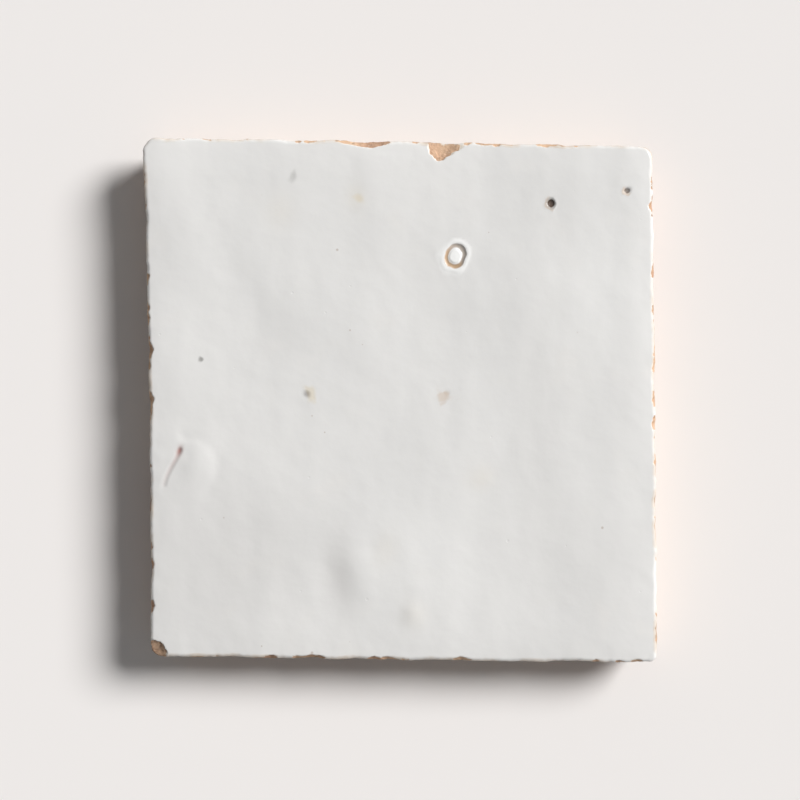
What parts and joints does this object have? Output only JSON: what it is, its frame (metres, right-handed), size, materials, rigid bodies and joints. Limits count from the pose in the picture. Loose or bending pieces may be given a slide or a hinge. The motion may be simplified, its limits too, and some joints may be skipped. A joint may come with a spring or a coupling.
{
  "type": "zellige tile",
  "caption": "Hand-cut square zellige wall tile, uneven white glaze over fired clay, chipped arrises and undercut sides",
  "frame": {"origin": "middle of the tile's outline, on the plane of its flat back", "axes": "+Z out of the glazed face, +Y up the face as the picture shows it, +X to the right along its lower edge"},
  "size_m": [0.0972, 0.0992, 0.0114],
  "materials": {
    "white_glaze": "uneven white tin glaze with pinholes and specks, bare sandy clay at the chips, sides and back"
  },
  "bodies": {
    "root": {"zellige_tile": "white_glaze"}
  },
  "joints": []
}
